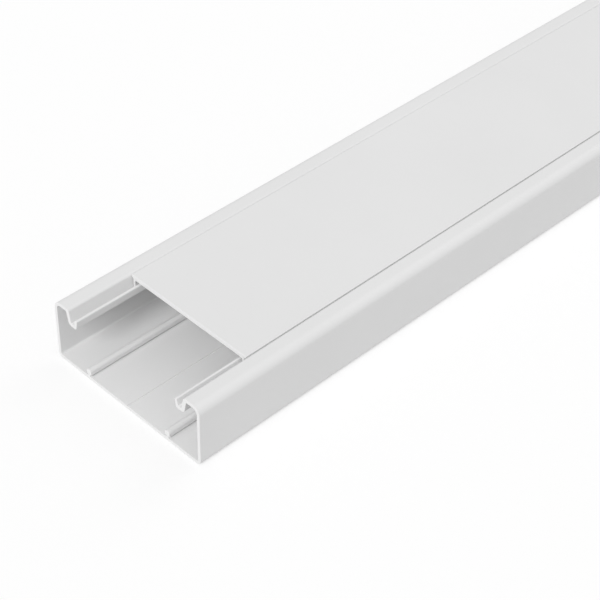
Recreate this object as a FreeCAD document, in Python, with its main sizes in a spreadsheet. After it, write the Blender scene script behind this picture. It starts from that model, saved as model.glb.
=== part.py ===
import FreeCAD, Part
import os

import Sketcher

# Cord cover raceway: a straight channel with inward flanges and its clip-on lid.
# Both pieces are extruded plastic, so each is one section carried along its length.
# Width runs along X, length along Y and height along Z. The origin is the middle
# of the flat back, and the end where the lid stops short is at the lowest Y.

# Driving sizes in millimetres
SIZES = {
    # Channel
    "raceway_length": 2000,
    "outer_width": 100,
    "outer_height": 35,
    "wall_thickness": 1.8,
    "top_corner_radius": 4.5,
    "back_corner_radius": 3,
    # Mouth of the channel and the two grooves that take the lid's legs
    "flange_width": 10.4,
    "mouth_edge_radius": 1.5,
    "groove_depth": 7.4,
    "groove_wall_lean": 1.5,
    "groove_floor_width": 2.1,
    "groove_corner_radius": 0.6,
    "groove_toe_radius": 1.5,
    "lip_height": 3.7,
    "lip_thickness": 1.5,
    "lip_lean": 0.8,
    # Rails on the floor for a clip-in divider, and the scored centre line
    "rail_from_side": 22.4,
    "rail_height": 4.3,
    "rail_thickness": 3.2,
    "rail_neck_thickness": 1.4,
    "rail_neck_height": 1.1,
    "score_width": 0.5,
    "score_depth": 0.4,
    # Lid
    "lid_set_back": 37.5,
    "lid_thickness": 2.4,
    "lid_side_clearance": 0.45,
    "lid_edge_height": 1.2,
    "lid_edge_radius": 0.4,
    "lid_undercut": 1.15,
    "lid_undercut_drop": 0.7,
    "lid_undercut_radius": 0.6,
    "leg_thickness": 1.4,
    "leg_bow_radius": 6,
    "leg_bow_height": 2.7,
    "leg_wall_clearance": 0.4,
    "leg_foot_lean": 0.4,
    "leg_foot_clearance": 0.2,
    "leg_root_radius": 0.8,
}

# Share of a thickness that rounds off its end, just short of a half circle
END_ROUND = 0.46

# How near two coordinates of the same point lie, in millimetres
SAME_PLACE = 1e-4


class Length:
    """A length that carries its spreadsheet formula beside its number."""

    def __init__(self, number, formula):
        self.number = number
        self.formula = formula

    def joined(self, other, number, sign):
        right = other.formula if isinstance(other, Length) else repr(other)
        return Length(number, "(" + self.formula + sign + right + ")")

    def __add__(self, other):
        return self.joined(other, self.number + plain(other), " + ")

    def __sub__(self, other):
        return self.joined(other, self.number - plain(other), " - ")

    def __mul__(self, other):
        return self.joined(other, self.number * plain(other), " * ")

    def __truediv__(self, other):
        return self.joined(other, self.number / plain(other), " / ")


def plain(value):
    return value.number if isinstance(value, Length) else value


ZERO = Length(0.0, "0")


def fill_sheet(doc):
    """Write every driving size into the sheet, each in a row with its alias."""
    sheet = doc.addObject("Spreadsheet::Sheet", "Sizes")
    for row, (alias, value) in enumerate(SIZES.items(), start=1):
        sheet.set("A%d" % row, alias)
        sheet.set("B%d" % row, str(value))
        sheet.setAlias("B%d" % row, alias)
    doc.recompute()
    return sheet


def size(alias):
    return Length(float(SIZES[alias]), "Sizes." + alias)


def origin_plane(body, role):
    for feature in body.Origin.OriginFeatures:
        if feature.Role == role:
            return feature
    raise ValueError("no origin plane " + role)


def new_body(doc, name):
    body = doc.addObject("PartDesign::Body", name)
    body.Label = name
    return body


def section_sketch(body, name):
    """A sketch across the length, in the plane of the far cut end."""
    sketch = body.newObject("Sketcher::SketchObject", name)
    sketch.AttachmentSupport = [(origin_plane(body, "XZ_Plane"), "")]
    sketch.MapMode = "FlatFace"
    sketch.setExpression("AttachmentOffset.Base.z", "-Sizes.raceway_length / 2")
    return sketch


def pin(sketch, geometry, end, axis, length):
    """Hold one coordinate of a sketch point at a length from the origin."""
    if length is ZERO:
        line = -2 if axis == "X" else -1
        sketch.addConstraint(Sketcher.Constraint("PointOnObject", geometry, end, line))
        return
    rule = Sketcher.Constraint("Distance" + axis, -1, 1, geometry, end, length.number)
    sketch.setExpression("Constraints[%d]" % sketch.addConstraint(rule), length.formula)


def closed_outline(sketch, corners):
    """Draw straight lines through the corners and back to the first one."""
    count = len(corners)
    points = [FreeCAD.Vector(x.number, z.number, 0) for x, z in corners]
    for index in range(count):
        line = Part.LineSegment(points[index], points[(index + 1) % count])
        sketch.addGeometry(line, False)
    for index in range(count):
        joint = Sketcher.Constraint("Coincident", index, 2, (index + 1) % count, 1)
        sketch.addConstraint(joint)
    for index, (x, z) in enumerate(corners):
        pin(sketch, index, 1, "X", x)
        pin(sketch, index, 1, "Y", z)


def along_length(body, name, sketch, formula):
    """Carry a section from the far cut end towards the near one."""
    pad = body.newObject("PartDesign::Pad", name)
    pad.Profile = sketch
    pad.setExpression("Length", formula)
    return pad


def both_sides(body, name, features):
    """Repeat the half section's features on the other side of the middle."""
    mirror = body.newObject("PartDesign::Mirrored", name)
    mirror.Originals = features
    mirror.MirrorPlane = (origin_plane(body, "YZ_Plane"), [""])
    body.Tip = mirror
    return mirror


def long_edges(shape, x, z):
    """Names of the lengthwise edges at a point of the section and its mirror point."""
    names = []
    for number, edge in enumerate(shape.Edges, start=1):
        ends = [vertex.Point for vertex in edge.Vertexes]
        if len(ends) != 2 or abs(ends[0].y - ends[1].y) < 1:
            continue
        off = [max(abs(abs(end.x) - x), abs(end.z - z)) for end in ends]
        if max(off) < SAME_PLACE:
            names.append("Edge%d" % number)
    return names


def round_corners(doc, body, name, radius, corners):
    """Round the lengthwise edges at some points of the section."""
    base = body.Tip
    doc.recompute()
    edges = []
    for x, z in corners:
        found = long_edges(base.Shape, plain(x), plain(z))
        if len(found) != 2:
            raise ValueError(name + ": a corner of the section has no edge pair")
        edges += found
    fillet = body.newObject("PartDesign::Fillet", name)
    fillet.Base = (base, edges)
    fillet.setExpression("Radius", radius.formula)
    body.Tip = fillet
    return fillet


def groove_levels():
    """Heights above the back of the groove's floor, its underside and the lip's tip."""
    floor = size("outer_height") - size("groove_depth")
    underside = floor - size("wall_thickness")
    tip = floor + size("lip_height")
    return floor, underside, tip


def build_channel(doc):
    """The channel that is fixed to the wall and holds the cords."""
    wall = size("wall_thickness")
    half = size("outer_width") / 2
    height = size("outer_height")
    mouth = half - size("flange_width")
    groove_wall = mouth - size("groove_wall_lean")
    lip_foot = groove_wall - size("groove_floor_width")
    lip_tip = lip_foot - size("lip_lean")
    lip_thickness = size("lip_thickness")
    groove_floor, groove_underside, lip_top = groove_levels()
    rail = half - size("rail_from_side")
    rail_thickness = size("rail_thickness")
    rail_side = rail_thickness / 2
    rail_neck = size("rail_neck_thickness") / 2
    rail_top = wall + size("rail_height")
    neck_top = wall + size("rail_neck_height")
    score_edge = size("score_width") / 2
    score_floor = wall - size("score_depth")

    outer_back = (half, ZERO)
    outer_top = (half, height)
    mouth_edge = (mouth, height)
    groove_outside = (groove_wall, groove_floor)
    groove_inside = (lip_foot, groove_floor)
    lip_outside = (lip_tip, lip_top)
    lip_inside = (lip_tip - lip_thickness, lip_top)
    fold_inside = (lip_foot - lip_thickness, groove_underside)
    fold_outside = (groove_wall + wall, groove_underside)
    under_flange = (mouth + wall, height - wall)
    inner_top = (half - wall, height - wall)
    inner_back = (half - wall, wall)
    rail_outside = (rail + rail_side, rail_top)
    rail_inside = (rail - rail_side, rail_top)

    body = new_body(doc, "base_channel")
    outline = section_sketch(body, "channel_outline")
    closed_outline(
        outline,
        [
            (ZERO, ZERO),
            outer_back,
            outer_top,
            mouth_edge,
            groove_outside,
            groove_inside,
            lip_outside,
            lip_inside,
            fold_inside,
            fold_outside,
            under_flange,
            inner_top,
            inner_back,
            (rail + rail_neck, wall),
            (rail + rail_neck, neck_top),
            (rail + rail_side, neck_top),
            rail_outside,
            rail_inside,
            (rail - rail_side, neck_top),
            (rail - rail_neck, neck_top),
            (rail - rail_neck, wall),
            (score_edge, wall),
            (score_edge, score_floor),
            (ZERO, score_floor),
        ],
    )
    channel_half = along_length(body, "channel_half", outline, "Sizes.raceway_length")

    both_sides(body, "channel_both_sides", [channel_half])
    top_radius = size("top_corner_radius")
    back_radius = size("back_corner_radius")
    groove_radius = size("groove_corner_radius")
    lip_round = lip_thickness * END_ROUND
    rail_round = rail_thickness * END_ROUND
    round_corners(doc, body, "top_corners", top_radius, [outer_top])
    round_corners(doc, body, "inner_top_corners", top_radius - wall, [inner_top])
    round_corners(doc, body, "back_corners", back_radius, [outer_back])
    round_corners(doc, body, "inner_back_corners", back_radius - wall, [inner_back])
    round_corners(doc, body, "mouth_edges", size("mouth_edge_radius"), [mouth_edge])
    round_corners(
        doc,
        body,
        "groove_corners",
        groove_radius,
        [groove_outside, groove_inside, under_flange],
    )
    round_corners(doc, body, "groove_folds", groove_radius + wall, [fold_outside])
    round_corners(doc, body, "groove_toes", size("groove_toe_radius"), [fold_inside])
    round_corners(doc, body, "lip_tips", lip_round, [lip_outside, lip_inside])
    round_corners(doc, body, "rail_tops", rail_round, [rail_outside, rail_inside])
    return body


def build_lid(doc):
    """The lid: a flat cover between the flanges, on two bowed legs in the grooves."""
    top = size("outer_height")
    underside = top - size("lid_thickness")
    mouth = size("outer_width") / 2 - size("flange_width")
    groove_depth = size("groove_depth")
    groove_floor = groove_levels()[0]
    edge = mouth - size("lid_side_clearance")
    edge_level = top - size("lid_edge_height")
    shoulder = edge - size("lid_undercut")
    shoulder_level = edge_level - size("lid_undercut_drop")
    leg_thickness = size("leg_thickness")
    bow_height = size("leg_bow_height")
    bow_level = groove_floor + bow_height
    lean = size("groove_wall_lean") * (groove_depth - bow_height) / groove_depth
    bow = mouth - lean - size("leg_wall_clearance")
    foot = bow - size("leg_foot_lean")
    foot_level = groove_floor + size("leg_foot_clearance")

    top_edge = (edge, top)
    undercut = (shoulder, shoulder_level)
    outer_bow = (bow, bow_level)
    outer_foot = (foot, foot_level)
    inner_foot = (foot - leg_thickness, foot_level)
    inner_bow = (bow - leg_thickness, bow_level)
    leg_root = (shoulder - leg_thickness, underside)

    body = new_body(doc, "clip_on_lid")
    outline = section_sketch(body, "lid_outline")
    closed_outline(
        outline,
        [
            (ZERO, underside),
            (ZERO, top),
            top_edge,
            (edge, edge_level),
            undercut,
            outer_bow,
            outer_foot,
            inner_foot,
            inner_bow,
            leg_root,
        ],
    )
    lid_length = "Sizes.raceway_length - Sizes.lid_set_back"
    lid_half = along_length(body, "lid_half", outline, lid_length)

    both_sides(body, "lid_both_sides", [lid_half])
    bow_radius = size("leg_bow_radius")
    foot_round = leg_thickness * END_ROUND
    round_corners(doc, body, "lid_edges", size("lid_edge_radius"), [top_edge])
    round_corners(doc, body, "undercuts", size("lid_undercut_radius"), [undercut])
    round_corners(doc, body, "outer_bows", bow_radius, [outer_bow])
    round_corners(doc, body, "inner_bows", bow_radius - leg_thickness, [inner_bow])
    round_corners(doc, body, "leg_roots", size("leg_root_radius"), [leg_root])
    round_corners(doc, body, "leg_feet", foot_round, [outer_foot, inner_foot])
    return body


def check_objects(doc):
    """Stop if any object failed or any piece is not one sound solid."""
    for item in doc.Objects:
        if "Invalid" in item.State or "Error" in item.State:
            raise RuntimeError(item.Name + " failed to recompute")


def write_pieces(bodies):
    os.makedirs("parts", exist_ok=True)
    for body in bodies:
        shape = body.Shape
        if shape.isNull() or not shape.isValid() or len(shape.Solids) != 1:
            raise RuntimeError(body.Label + " is not one sound solid")
        shape.exportStep("parts/" + body.Label + ".step")
        box = shape.BoundBox
        print(body.Label, "volume", round(shape.Volume), "box", box)


def main():
    doc = FreeCAD.newDocument("raceway")
    fill_sheet(doc)
    bodies = [build_channel(doc), build_lid(doc)]
    doc.recompute()
    check_objects(doc)
    write_pieces(bodies)


main()
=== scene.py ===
import math

import bpy
from mathutils import Matrix, Vector


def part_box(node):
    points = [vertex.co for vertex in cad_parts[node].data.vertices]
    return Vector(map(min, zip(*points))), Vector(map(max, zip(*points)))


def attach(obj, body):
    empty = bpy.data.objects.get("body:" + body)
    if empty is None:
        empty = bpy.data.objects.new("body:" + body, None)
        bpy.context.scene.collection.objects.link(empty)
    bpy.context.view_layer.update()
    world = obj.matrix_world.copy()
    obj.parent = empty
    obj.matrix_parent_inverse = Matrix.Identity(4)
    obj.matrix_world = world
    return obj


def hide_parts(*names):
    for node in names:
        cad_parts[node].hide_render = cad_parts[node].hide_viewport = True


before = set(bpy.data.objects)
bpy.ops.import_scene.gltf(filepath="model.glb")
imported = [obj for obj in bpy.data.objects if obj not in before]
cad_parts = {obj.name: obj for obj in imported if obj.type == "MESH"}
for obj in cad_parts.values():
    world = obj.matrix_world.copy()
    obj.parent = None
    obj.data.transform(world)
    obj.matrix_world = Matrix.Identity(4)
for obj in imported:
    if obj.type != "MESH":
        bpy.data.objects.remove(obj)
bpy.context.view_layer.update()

MM = 0.001

# Sizes of the section in millimetres, with the same meaning as in the part's source
WALL = 1.8
TOP_CORNER_RADIUS = 4.5
BACK_CORNER_RADIUS = 3.0
FLANGE_WIDTH = 10.4
MOUTH_EDGE_RADIUS = 1.5
GROOVE_DEPTH = 7.4
GROOVE_WALL_LEAN = 1.5
GROOVE_FLOOR_WIDTH = 2.1
GROOVE_CORNER_RADIUS = 0.6
GROOVE_TOE_RADIUS = 1.5
LIP_HEIGHT = 3.7
LIP_THICKNESS = 1.5
LIP_LEAN = 0.8
RAIL_FROM_SIDE = 22.4
RAIL_HEIGHT = 4.3
RAIL_THICKNESS = 3.2
RAIL_NECK_THICKNESS = 1.4
RAIL_NECK_HEIGHT = 1.1
SCORE_WIDTH = 0.5
SCORE_DEPTH = 0.4
LID_THICKNESS = 2.4
LID_SIDE_CLEARANCE = 0.45
LID_EDGE_HEIGHT = 1.2
LID_EDGE_RADIUS = 0.4
LID_UNDERCUT = 1.15
LID_UNDERCUT_DROP = 0.7
LID_UNDERCUT_RADIUS = 0.6
LEG_THICKNESS = 1.4
LEG_BOW_RADIUS = 6.0
LEG_BOW_HEIGHT = 2.7
LEG_WALL_CLEARANCE = 0.4
LEG_FOOT_CLEARANCE = 0.2
LEG_FOOT_LEAN = 0.4
LEG_ROOT_RADIUS = 0.8

# Share of a thickness that rounds off its end, just short of a half circle
END_ROUND = 0.46

# Softened edges in millimetres that the part's source doesn't have: along the scored
# line, and round the sawn ends. The profile gives shares of a sawn end's edge: how far
# in from the end a point lies, and how far under the surface.
SCORE_EDGE_RADIUS = 0.15
CHANNEL_CUT_EDGE = 0.12
LID_CUT_EDGE = 0.3
CUT_EDGE_PROFILE = [(0, 1), (1 / 3, 1 / 3), (1, 0)]

# A corner of the section moves in at most this many times as far as the sides beside it
MITRE_LIMIT = 2.0

# How finely the shapes are drawn: arcs in degrees, the length in metres
ARC_STEP_DEGREES = 7.5
FEWEST_ARC_STEPS = 2
LENGTH_STEP = 0.1
SHARP_ANGLE_DEGREES = 28

# The plastic: a noise tints it between two greys, each given with the noise's value,
# and a stretched noise draws faint lines along it, their height in metres
PLASTIC_ROUGHNESS = 0.42
TINT_SCALE = 18.0
TINT_DETAIL = 3.0
TINT_GREYS = [(0.3, 0.76), (0.7, 0.775)]
DRAW_LINE_STRETCH = (900.0, 4.0, 900.0)
DRAW_LINE_STRENGTH = 0.12
DRAW_LINE_HEIGHT = 0.0001

# Floor and surround: lengths in metres, levels with 1 as white
FLOOR_REACH = 60.0
FLOOR_UNDER_PART = 0.0002
FLOOR_SHADOW_SHARE = 0.5
FLOOR_BOUNCE_GREY = 0.7
SURROUND_LEVEL = 0.54

# Soft lamps far away: azimuth, elevation, level added to a white surface that faces the
# lamp, and softness. All azimuths run from the near end round to the right, in degrees.
LAMPS = [("key", 20, 40, 0.64, 30), ("back", 180, 35, 0.05, 30)]

# Camera of the photograph, a 600 x 600 frame: angles in degrees, lengths in metres
PHOTO_WIDTH = 600
SENSOR_WIDTH = 36.0
FOCAL_PIXELS = 1723.0
CAMERA_AZIMUTH = 44.62
CAMERA_ELEVATION = 40.93
CAMERA_ROLL = 1.36
CAMERA_FROM_NEAR_END = (0.45093, -0.34617, 0.55688)
CAMERA_SEES_FROM = 0.01
CAMERA_SEES_TO = 200


def box_sizes():
    """Outer width, height and the two ends in Y of the channel, and the lid's near end."""
    low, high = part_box("base_channel")
    lid_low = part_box("clip_on_lid")[0]
    width = (high.x - low.x) / MM
    height = (high.z - low.z) / MM
    return width, height, low.y, high.y, lid_low.y


OUTER_WIDTH, OUTER_HEIGHT, NEAR_END, FAR_END, LID_NEAR_END = box_sizes()
HALF = OUTER_WIDTH / 2
MOUTH = HALF - FLANGE_WIDTH


def arc(centre, radius, start, end):
    """Points along an arc from one angle to another, in radians."""
    step_angle = math.radians(ARC_STEP_DEGREES)
    steps = max(FEWEST_ARC_STEPS, math.ceil(abs(end - start) / step_angle))
    angles = [start + (end - start) * step / steps for step in range(steps + 1)]
    return [
        Vector((centre[0] + radius * math.cos(a), centre[1] + radius * math.sin(a)))
        for a in angles
    ]


def rounded(corners):
    """An open run of points through corners, each given as x, z and, where the corner
    is round, its radius."""
    points = [Vector(corner[:2]) for corner in corners]
    run = []
    for index, point in enumerate(points):
        if len(corners[index]) == 2:
            run.append(point)
            continue
        radius = corners[index][2]
        back = (points[index - 1] - point).normalized()
        ahead = (points[index + 1] - point).normalized()
        half_angle = math.acos(max(-1, min(1, back.dot(ahead)))) / 2
        centre = point + (back + ahead).normalized() * (radius / math.sin(half_angle))
        reach = radius / math.tan(half_angle)
        first = point + back * reach - centre
        last = point + ahead * reach - centre
        start = math.atan2(first.y, first.x)
        turn = math.atan2(first.x * last.y - first.y * last.x, first.dot(last))
        run += arc(centre, radius, start, start + turn)
    return run


def channel_section():
    """Right half of the channel's section, from the back's middle round to the floor."""
    groove_wall = MOUTH - GROOVE_WALL_LEAN
    groove_floor = OUTER_HEIGHT - GROOVE_DEPTH
    groove_underside = groove_floor - WALL
    lip_foot = groove_wall - GROOVE_FLOOR_WIDTH
    lip_tip = lip_foot - LIP_LEAN
    lip_top = groove_floor + LIP_HEIGHT
    lip_round = LIP_THICKNESS * END_ROUND
    rail = HALF - RAIL_FROM_SIDE
    side = RAIL_THICKNESS / 2
    neck = RAIL_NECK_THICKNESS / 2
    neck_top = WALL + RAIL_NECK_HEIGHT
    rail_top = WALL + RAIL_HEIGHT
    rail_round = RAIL_THICKNESS * END_ROUND
    return rounded(
        [
            (0, 0),
            (HALF, 0, BACK_CORNER_RADIUS),
            (HALF, OUTER_HEIGHT, TOP_CORNER_RADIUS),
            (MOUTH, OUTER_HEIGHT, MOUTH_EDGE_RADIUS),
            (groove_wall, groove_floor, GROOVE_CORNER_RADIUS),
            (lip_foot, groove_floor, GROOVE_CORNER_RADIUS),
            (lip_tip, lip_top, lip_round),
            (lip_tip - LIP_THICKNESS, lip_top, lip_round),
            (lip_foot - LIP_THICKNESS, groove_underside, GROOVE_TOE_RADIUS),
            (groove_wall + WALL, groove_underside, GROOVE_CORNER_RADIUS + WALL),
            (MOUTH + WALL, OUTER_HEIGHT - WALL, GROOVE_CORNER_RADIUS),
            (HALF - WALL, OUTER_HEIGHT - WALL, TOP_CORNER_RADIUS - WALL),
            (HALF - WALL, WALL, BACK_CORNER_RADIUS - WALL),
            (rail + neck, WALL),
            (rail + neck, neck_top),
            (rail + side, neck_top),
            (rail + side, rail_top, rail_round),
            (rail - side, rail_top, rail_round),
            (rail - side, neck_top),
            (rail - neck, neck_top),
            (rail - neck, WALL),
            (SCORE_WIDTH / 2, WALL, SCORE_EDGE_RADIUS),
            (SCORE_WIDTH / 2, WALL - SCORE_DEPTH, SCORE_EDGE_RADIUS),
            (0, WALL - SCORE_DEPTH),
        ]
    )


def lid_section():
    """Right half of the lid's section, from its top's middle round to the underside."""
    underside = OUTER_HEIGHT - LID_THICKNESS
    groove_floor = OUTER_HEIGHT - GROOVE_DEPTH
    edge = MOUTH - LID_SIDE_CLEARANCE
    edge_level = OUTER_HEIGHT - LID_EDGE_HEIGHT
    slope = GROOVE_WALL_LEAN / GROOVE_DEPTH
    shoulder = edge - LID_UNDERCUT
    shoulder_level = edge_level - LID_UNDERCUT_DROP
    bow_level = groove_floor + LEG_BOW_HEIGHT
    bow = MOUTH - slope * (GROOVE_DEPTH - LEG_BOW_HEIGHT) - LEG_WALL_CLEARANCE
    foot = bow - LEG_FOOT_LEAN
    foot_level = groove_floor + LEG_FOOT_CLEARANCE
    foot_round = LEG_THICKNESS * END_ROUND
    return rounded(
        [
            (0, OUTER_HEIGHT),
            (edge, OUTER_HEIGHT, LID_EDGE_RADIUS),
            (edge, edge_level),
            (shoulder, shoulder_level, LID_UNDERCUT_RADIUS),
            (bow, bow_level, LEG_BOW_RADIUS),
            (foot, foot_level, foot_round),
            (foot - LEG_THICKNESS, foot_level, foot_round),
            (bow - LEG_THICKNESS, bow_level, LEG_BOW_RADIUS - LEG_THICKNESS),
            (shoulder - LEG_THICKNESS, underside, LEG_ROOT_RADIUS),
            (0, underside),
        ]
    )


def whole(half):
    """A half section closed with its mirror image, running counter-clockwise."""
    mirrored = [Vector((-point.x, point.y)) for point in reversed(half[1:-1])]
    outline = half + mirrored
    area = sum(
        a.x * b.y - b.x * a.y for a, b in zip(outline, outline[1:] + outline[:1])
    )
    return outline if area > 0 else outline[::-1]


def inset(outline, depth):
    """The outline moved inwards by a small depth, corner by corner."""
    moved = []
    for index, point in enumerate(outline):
        before = (point - outline[index - 1]).normalized()
        after = (outline[(index + 1) % len(outline)] - point).normalized()
        inward = Vector((-before.y - after.y, before.x + after.x)).normalized()
        spread = max(1 / MITRE_LIMIT, inward.dot(Vector((-after.y, after.x))))
        moved.append(point + inward * (depth / spread))
    return moved


def cut_edge_rings(end, inwards, cut_edge):
    """Place in Y and depth under the surface of the rings round a sawn end's edge."""
    return [
        (end + inwards * cut_edge * MM * along, cut_edge * depth)
        for along, depth in CUT_EDGE_PROFILE
    ]


def add_object(name, data):
    """A new object in the scene."""
    made = bpy.data.objects.new(name, data)
    bpy.context.scene.collection.objects.link(made)
    return made


def extrusion(name, outline, near, far, cut_edge):
    """A solid of one section, with the edges of its sawn ends broken."""
    count = math.ceil((far - near) / LENGTH_STEP)
    rings = cut_edge_rings(near, 1, cut_edge)
    rings += [(near + (far - near) * step / count, 0) for step in range(1, count)]
    rings += reversed(cut_edge_rings(far, -1, cut_edge))
    vertices = []
    for y, depth in rings:
        ring = inset(outline, depth) if depth else outline
        vertices += [(point.x * MM, y, point.y * MM) for point in ring]
    size = len(outline)
    faces = [tuple(range(size))]
    for ring in range(len(rings) - 1):
        low, high = ring * size, (ring + 1) * size
        for index in range(size):
            after = (index + 1) % size
            faces.append((low + index, high + index, high + after, low + after))
    last = (len(rings) - 1) * size
    faces.append(tuple(last + index for index in reversed(range(size))))
    mesh = bpy.data.meshes.new(name)
    mesh.from_pydata(vertices, [], faces)
    mesh.validate()
    for face in mesh.polygons:
        face.use_smooth = 0 < face.index < len(faces) - 1
    mesh.set_sharp_from_angle(angle=math.radians(SHARP_ANGLE_DEGREES))
    piece = add_object(name, mesh)
    weighted = piece.modifiers.new("even_normals", "WEIGHTED_NORMAL")
    weighted.keep_sharp = True
    return piece


def grey(level):
    """A neutral colour."""
    return (level, level, level, 1)


def node_material(name):
    """A new material with its nodes and links."""
    material = bpy.data.materials.new(name)
    material.use_nodes = True
    return material, material.node_tree.nodes, material.node_tree.links


def plastic(name):
    """Extruded white plastic: satin, with faint draw lines along its length."""
    material, nodes, links = node_material(name)
    shader = nodes["Principled BSDF"]
    shader.inputs["Roughness"].default_value = PLASTIC_ROUGHNESS
    place = nodes.new("ShaderNodeTexCoord")
    tint = nodes.new("ShaderNodeTexNoise")
    tint.inputs["Scale"].default_value = TINT_SCALE
    tint.inputs["Detail"].default_value = TINT_DETAIL
    ramp = nodes.new("ShaderNodeValToRGB")
    for element, (value, level) in zip(ramp.color_ramp.elements, TINT_GREYS):
        element.position = value
        element.color = grey(level)
    links.new(place.outputs["Object"], tint.inputs["Vector"])
    links.new(tint.outputs["Fac"], ramp.inputs["Fac"])
    links.new(ramp.outputs["Color"], shader.inputs["Base Color"])
    stretch = nodes.new("ShaderNodeMapping")
    stretch.inputs["Scale"].default_value = DRAW_LINE_STRETCH
    lines = nodes.new("ShaderNodeTexNoise")
    lines.inputs["Scale"].default_value = 1.0
    bump = nodes.new("ShaderNodeBump")
    bump.inputs["Strength"].default_value = DRAW_LINE_STRENGTH
    bump.inputs["Distance"].default_value = DRAW_LINE_HEIGHT
    links.new(place.outputs["Object"], stretch.inputs["Vector"])
    links.new(stretch.outputs["Vector"], lines.inputs["Vector"])
    links.new(lines.outputs["Fac"], bump.inputs["Height"])
    links.new(bump.outputs["Normal"], shader.inputs["Normal"])
    return material


def dress(piece, material, body, node):
    """Give a piece its material, tie it to its body and hide the solid it stands in for.
    """
    piece.data.materials.append(material)
    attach(piece, body)
    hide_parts(node)


def seen_directly(nodes, links):
    """A socket that is 1 for rays from the camera, also by reflection or through glass."""
    path = nodes.new("ShaderNodeLightPath")
    seen = path.outputs["Is Camera Ray"]
    for kind in ("Is Glossy Ray", "Is Transmission Ray"):
        either = nodes.new("ShaderNodeMath")
        either.operation = "MAXIMUM"
        links.new(seen, either.inputs[0])
        links.new(path.outputs[kind], either.inputs[1])
        seen = either.outputs["Value"]
    return seen


def mixed(nodes, links, first, second):
    """A node that mixes two shaders; its Fac is the second one's share."""
    mix = nodes.new("ShaderNodeMixShader")
    links.new(first, mix.inputs[1])
    links.new(second, mix.inputs[2])
    return mix


def diffuse(nodes, level):
    """A plain grey surface."""
    surface = nodes.new("ShaderNodeBsdfDiffuse")
    surface.inputs["Color"].default_value = grey(level)
    return surface.outputs["BSDF"]


def make_floor():
    """A plain floor that shows white and takes the object's shadow."""
    mesh = bpy.data.meshes.new("floor")
    signs = [(-1, -1), (1, -1), (1, 1), (-1, 1)]
    corners = [
        (x * FLOOR_REACH, y * FLOOR_REACH, -FLOOR_UNDER_PART) for x, y in signs
    ]
    mesh.from_pydata(corners, [], [(0, 1, 2, 3)])
    floor = add_object("floor", mesh)
    material, nodes, links = node_material("floor_white")
    nodes.clear()
    white = nodes.new("ShaderNodeEmission")
    shown = mixed(nodes, links, white.outputs["Emission"], diffuse(nodes, 1))
    shown.inputs["Fac"].default_value = FLOOR_SHADOW_SHARE
    bounce = diffuse(nodes, FLOOR_BOUNCE_GREY)
    switch = mixed(nodes, links, bounce, shown.outputs["Shader"])
    links.new(seen_directly(nodes, links), switch.inputs["Fac"])
    output = nodes.new("ShaderNodeOutputMaterial")
    links.new(switch.outputs["Shader"], output.inputs["Surface"])
    mesh.materials.append(material)


def make_world():
    """An even pale surround, pure white where the camera or a reflection sees it."""
    world = bpy.data.worlds.new("surround")
    bpy.context.scene.world = world
    world.use_nodes = True
    nodes, links = world.node_tree.nodes, world.node_tree.links
    surround = nodes["Background"]
    surround.inputs["Color"].default_value = grey(1)
    surround.inputs["Strength"].default_value = SURROUND_LEVEL
    white = nodes.new("ShaderNodeBackground")
    white.inputs["Color"].default_value = grey(1)
    switch = mixed(
        nodes, links, surround.outputs["Background"], white.outputs["Background"]
    )
    links.new(seen_directly(nodes, links), switch.inputs["Fac"])
    links.new(switch.outputs["Shader"], nodes["World Output"].inputs["Surface"])


def direction(azimuth, elevation):
    """Unit vector from the object towards a place, both angles in degrees."""
    azimuth, elevation = math.radians(azimuth), math.radians(elevation)
    return Vector(
        (
            math.sin(azimuth) * math.cos(elevation),
            -math.cos(azimuth) * math.cos(elevation),
            math.sin(elevation),
        )
    )


def make_sun(name, azimuth, elevation, level, softness):
    """One of the soft lamps, shining from its place on the object."""
    lamp = bpy.data.lights.new(name, "SUN")
    lamp.energy = level * math.pi
    lamp.angle = math.radians(softness)
    sun = add_object(name, lamp)
    sun.rotation_mode = "QUATERNION"
    sun.rotation_quaternion = direction(azimuth, elevation).to_track_quat("Z", "Y")


def make_camera():
    """The photograph's view, measured from the near end's middle at floor level."""
    data = bpy.data.cameras.new("camera")
    data.sensor_width = SENSOR_WIDTH
    data.lens = FOCAL_PIXELS * SENSOR_WIDTH / PHOTO_WIDTH
    data.clip_start = CAMERA_SEES_FROM
    data.clip_end = CAMERA_SEES_TO
    camera = add_object("camera", data)
    across, along, up = CAMERA_FROM_NEAR_END
    place = Matrix.Translation((across, NEAR_END + along, up))
    ahead = -direction(CAMERA_AZIMUTH, CAMERA_ELEVATION)
    turn = ahead.to_track_quat("-Z", "Y").to_matrix().to_4x4()
    roll = Matrix.Rotation(math.radians(CAMERA_ROLL), 4, "Z")
    camera.matrix_world = place @ turn @ roll
    bpy.context.scene.camera = camera


def main():
    bpy.context.scene.view_settings.view_transform = "Standard"
    make_camera()
    channel = extrusion(
        "channel", whole(channel_section()), NEAR_END, FAR_END, CHANNEL_CUT_EDGE
    )
    lid = extrusion("lid", whole(lid_section()), LID_NEAR_END, FAR_END, LID_CUT_EDGE)
    white = plastic("white_plastic")
    dress(channel, white, "channel", "base_channel")
    dress(lid, white, "lid", "clip_on_lid")
    make_floor()
    make_world()
    for lamp in LAMPS:
        make_sun(*lamp)


main()
